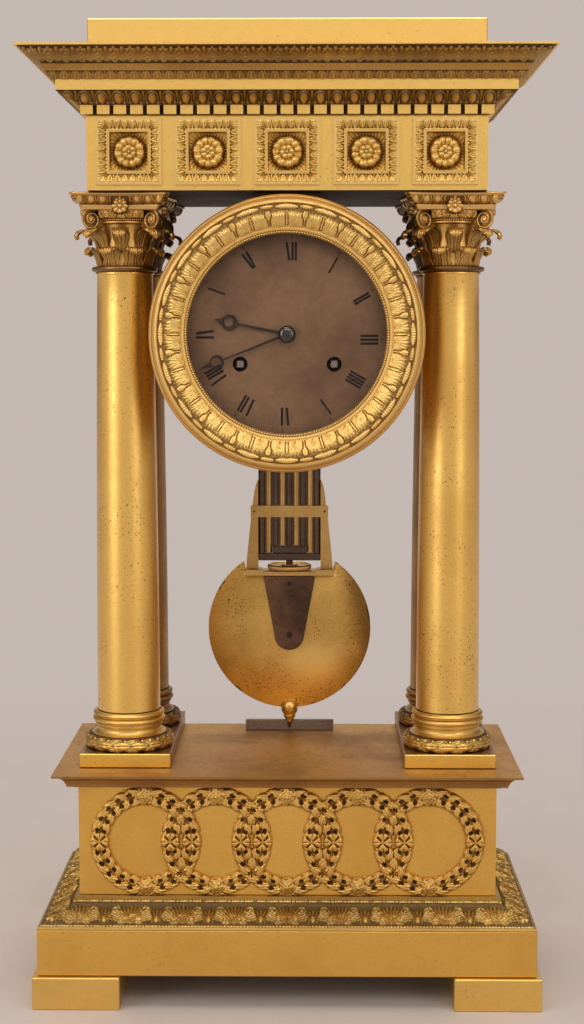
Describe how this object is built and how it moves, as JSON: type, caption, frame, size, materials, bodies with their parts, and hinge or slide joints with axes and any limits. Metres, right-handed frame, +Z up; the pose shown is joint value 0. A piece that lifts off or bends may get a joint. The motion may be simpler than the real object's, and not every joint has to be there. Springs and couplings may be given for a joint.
{
  "type": "portico mantel clock",
  "caption": "Gilt-bronze portico clock: columns on a stepped plinth carry a coffered entablature, with a hanging drum dial and a gridiron pendulum.",
  "frame": {"origin": "centre of the bounding box, on the plane that the four feet stand on", "axes": "+Z up, the dial faces -Y, +X to the right as one looks at the dial; the flat back is at +Y"},
  "size_m": [0.2984, 0.161, 0.5695],
  "materials": {
    "gilt_bronze": "fire-gilt bronze, burnished on the plain faces and matt in the ornament",
    "aged_brass": "aged brass with fine dark specks",
    "dark_steel": "browned steel",
    "polished_steel": "polished steel",
    "tarnished_silver": "silvered brass, tarnished to a warm brown",
    "clear_glass": "clear flat glass"
  },
  "bodies": {
    "case": {"foot_front_left": "gilt_bronze", "foot_front_right": "gilt_bronze", "foot_rear_left": "gilt_bronze", "foot_rear_right": "gilt_bronze", "base_block": "gilt_bronze", "palmette_moulding": "gilt_bronze", "dado": "gilt_bronze", "wreath_band": "gilt_bronze", "plinth_slab": "gilt_bronze", "rail_left": "gilt_bronze", "rail_right": "gilt_bronze", "column_base_front_left": "gilt_bronze", "column_base_front_right": "gilt_bronze", "column_base_rear_left": "gilt_bronze", "column_base_rear_right": "gilt_bronze", "column_shaft_front_left": "gilt_bronze", "column_shaft_front_right": "gilt_bronze", "column_shaft_rear_left": "gilt_bronze", "column_shaft_rear_right": "gilt_bronze", "column_capital_front_left": "gilt_bronze", "column_capital_front_right": "gilt_bronze", "column_capital_rear_left": "gilt_bronze", "column_capital_rear_right": "gilt_bronze", "frieze_box": "gilt_bronze", "coffer_1": "gilt_bronze", "coffer_2": "gilt_bronze", "coffer_3": "gilt_bronze", "coffer_4": "gilt_bronze", "coffer_5": "gilt_bronze", "cornice": "gilt_bronze", "attic_slab": "gilt_bronze", "drum_case": "aged_brass", "front_plate": "aged_brass", "back_plate": "aged_brass", "bell": "aged_brass", "beat_bar": "dark_steel", "dial": "tarnished_silver"},
    "minute": {"minute_hand": "dark_steel", "centre_arbor": "polished_steel"},
    "hour": {"hour_hand": "dark_steel"},
    "count": {"count_wheel": "dark_steel"},
    "going_barrel": {"going_barrel": "aged_brass"},
    "strike_barrel": {"strike_barrel": "aged_brass"},
    "going_arbor": {"going_winding_arbor": "dark_steel"},
    "strike_arbor": {"strike_winding_arbor": "dark_steel"},
    "bezel": {"bezel": "gilt_bronze", "bezel_glass": "clear_glass"},
    "pendulum": {"gridiron_steel_outer": "dark_steel", "gridiron_brass_outer": "aged_brass", "gridiron_steel_inner": "dark_steel", "gridiron_brass_inner": "aged_brass", "gridiron_centre_rod": "dark_steel"},
    "bob_carriage": {"cheek_frame": "aged_brass", "pendulum_yoke": "aged_brass", "pendulum_tongue": "dark_steel", "pendulum_bob": "aged_brass", "pendulum_finial": "aged_brass"},
    "rating_nut": {"rating_nut": "aged_brass"},
    "crutch": {"anchor_crutch": "dark_steel"},
    "hammer": {"hammer": "dark_steel"}
  },
  "joints": [
    {"name": "minute_turn", "type": "hinge", "parent": "case", "child": "minute", "pos_m": [0, -0.045, 0.392], "axis": [0, 1, 0], "continuous": true},
    {"name": "hour_turn", "type": "hinge", "parent": "case", "child": "hour", "pos_m": [0, -0.044, 0.392], "axis": [0, 1, 0], "continuous": true},
    {"name": "count_turn", "type": "hinge", "parent": "case", "child": "count", "pos_m": [-0.027, 0.0129, 0.418], "axis": [0, 1, 0], "continuous": true},
    {"name": "going_barrel_turn", "type": "hinge", "parent": "case", "child": "going_barrel", "pos_m": [-0.0271, -0.012, 0.3749], "axis": [0, 1, 0], "continuous": true},
    {"name": "strike_barrel_turn", "type": "hinge", "parent": "case", "child": "strike_barrel", "pos_m": [0.0271, -0.012, 0.3749], "axis": [0, 1, 0], "continuous": true},
    {"name": "going_wind", "type": "hinge", "parent": "case", "child": "going_arbor", "pos_m": [-0.0271, -0.012, 0.3749], "axis": [0, 1, 0], "range_deg": [0, 1440]},
    {"name": "strike_wind", "type": "hinge", "parent": "case", "child": "strike_arbor", "pos_m": [0.0271, -0.012, 0.3749], "axis": [0, 1, 0], "range_deg": [0, 1440]},
    {"name": "bezel_hinge", "type": "hinge", "parent": "case", "child": "bezel", "pos_m": [-0.0755, -0.04054, 0.392], "axis": [0, 0, -1], "range_deg": [0, 100]},
    {"name": "pendulum_swing", "type": "hinge", "parent": "case", "child": "pendulum", "pos_m": [0, 0.0575, 0.44], "axis": [0, 1, 0], "range_deg": [-4, 4]},
    {"name": "crutch_swing", "type": "hinge", "parent": "case", "child": "crutch", "pos_m": [0, 0.03, 0.44], "axis": [0, 1, 0], "range_deg": [-4, 4]},
    {"name": "hammer_swing", "type": "hinge", "parent": "case", "child": "hammer", "pos_m": [0.036, 0.02, 0.35], "axis": [0, 1, 0], "range_deg": [0, 10], "stiffness_Nm_per_rad": 0.003},
    {"name": "bob_slide", "type": "slide", "parent": "pendulum", "child": "bob_carriage", "axis": [0, 0, 1], "range_m": [-0.001, 0.001]},
    {"name": "nut_turn", "type": "hinge", "parent": "bob_carriage", "child": "rating_nut", "pos_m": [0, 0.0575, 0.2444], "axis": [0, 0, 1], "range_deg": [-722, 722]}
  ],
  "couplings": [
    {"joint": "hour_turn", "follows": "minute_turn", "ratio": 0.083333},
    {"joint": "count_turn", "follows": "minute_turn", "ratio": 0.083333},
    {"joint": "going_barrel_turn", "follows": "minute_turn", "ratio": 0.03125},
    {"joint": "strike_barrel_turn", "follows": "minute_turn", "ratio": 0.03125},
    {"joint": "crutch_swing", "follows": "pendulum_swing", "ratio": 1},
    {"joint": "nut_turn", "follows": "bob_slide", "rad_per_m": 12566}
  ]
}
